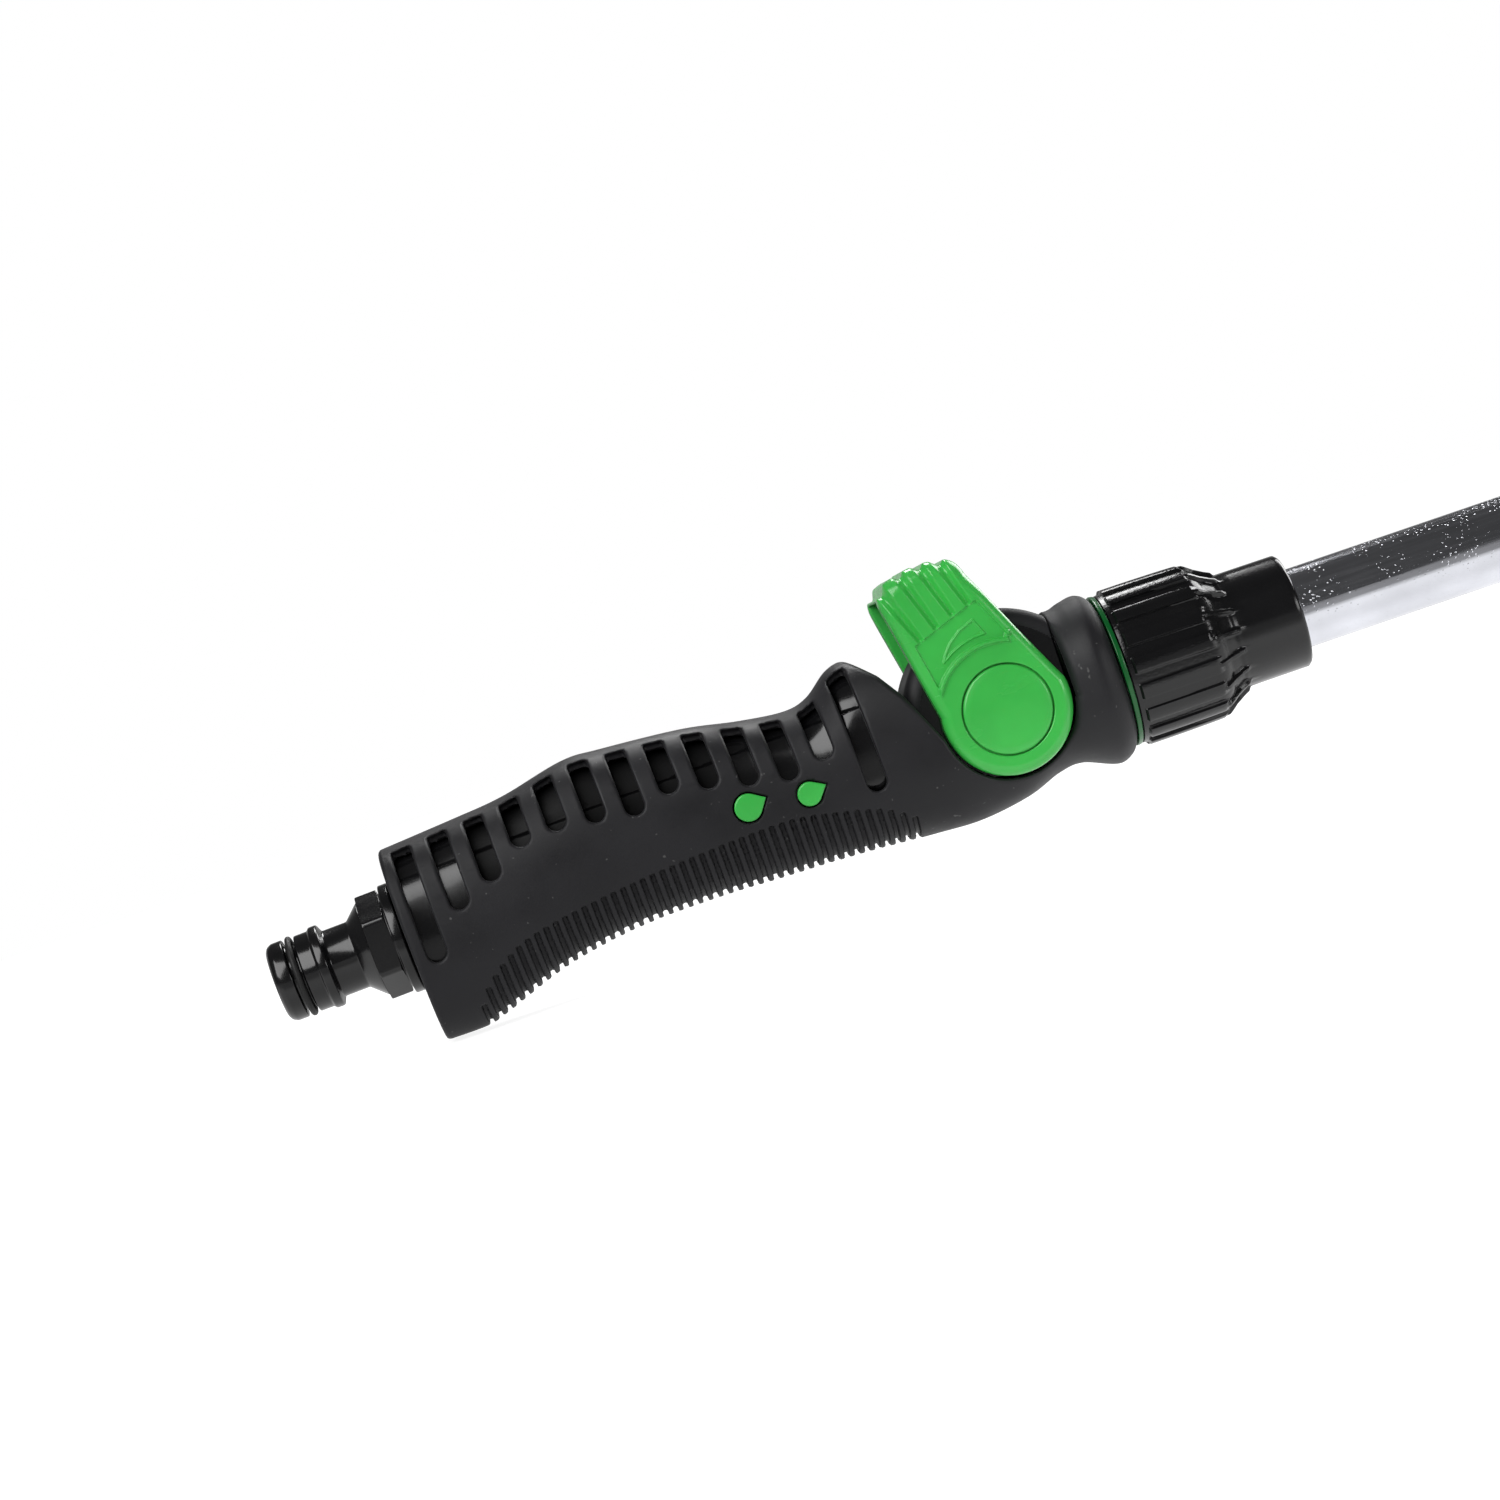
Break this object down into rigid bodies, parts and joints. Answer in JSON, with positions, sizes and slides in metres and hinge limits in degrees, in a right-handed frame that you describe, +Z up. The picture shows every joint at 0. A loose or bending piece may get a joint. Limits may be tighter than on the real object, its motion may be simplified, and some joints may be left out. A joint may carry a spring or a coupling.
{
  "type": "watering wand",
  "caption": "Hand-held watering wand: soft slotted grip, thumb-lever valve, quick-connect hose end, ribbed union nut, metal tube and a round shower rose.",
  "frame": {"origin": "on the surface that the wand lies on, under the middle of its length", "axes": "+X along the tube towards the rose, +Z up on the thumb lever's side, +Y to the left seen from behind"},
  "size_m": [0.6098, 0.052, 0.0577],
  "materials": {
    "grip_rubber": "matte soft-touch",
    "black_gloss": "glossy",
    "seal_rubber": "matte",
    "lever_green": "glossy",
    "trim_green": "glossy",
    "inner_plastic": "moulded",
    "tube_metal": "polished",
    "screw_steel": "plain"
  },
  "bodies": {
    "handle": {"grip_skin": "grip_rubber", "grip_core": "black_gloss", "valve_housing": "black_gloss", "inlet_pipe": "inner_plastic", "pipe_seal_rear": "seal_rubber", "pipe_seal_front": "seal_rubber", "valve_seat_inlet": "inner_plastic", "valve_seat_outlet": "inner_plastic", "hose_connector": "black_gloss", "connector_o_ring": "seal_rubber", "connector_washer": "seal_rubber", "drop_inlay_left_front": "lever_green", "drop_inlay_left_rear": "lever_green", "drop_inlay_right_front": "lever_green", "drop_inlay_right_rear": "lever_green", "trim_ring": "trim_green", "tube_o_ring": "seal_rubber"},
    "lever": {"thumb_lever": "lever_green", "valve_plug": "inner_plastic", "lever_cap_left": "lever_green", "lever_cap_right": "lever_green", "lever_screw_left": "screw_steel", "lever_screw_right": "screw_steel", "plug_o_ring_left": "seal_rubber", "plug_o_ring_right": "seal_rubber"},
    "clamp": {"collet": "inner_plastic", "thrust_washer": "inner_plastic"},
    "nut": {"union_nut": "black_gloss"},
    "tube": {"wand_tube": "tube_metal", "tube_end_fitting": "tube_metal", "rose_washer": "seal_rubber", "rose_shell": "black_gloss", "rose_diffuser": "inner_plastic", "rose_gasket": "seal_rubber", "rose_face": "screw_steel", "rose_ring": "trim_green", "rose_screw": "screw_steel"}
  },
  "joints": [
    {"name": "lever_turn", "type": "hinge", "parent": "handle", "child": "lever", "pos_m": [-0.155, 0, 0.026], "axis": [0, 1, 0], "range_deg": [-15, 16]},
    {"name": "nut_travel", "type": "slide", "parent": "handle", "child": "clamp", "axis": [1, 0, 0], "range_m": [0, 0.00376]},
    {"name": "nut_turn", "type": "hinge", "parent": "clamp", "child": "nut", "pos_m": [-0.125, 0, 0.026], "axis": [1, 0, 0], "range_deg": [0, 540]},
    {"name": "tube_twist", "type": "hinge", "parent": "handle", "child": "tube", "pos_m": [-0.125, 0, 0.026], "axis": [1, 0, 0], "range_deg": [-180, 180]}
  ],
  "couplings": [
    {"joint": "nut_travel", "follows": "nut_turn", "m_per_rad": 0.00039789}
  ]
}
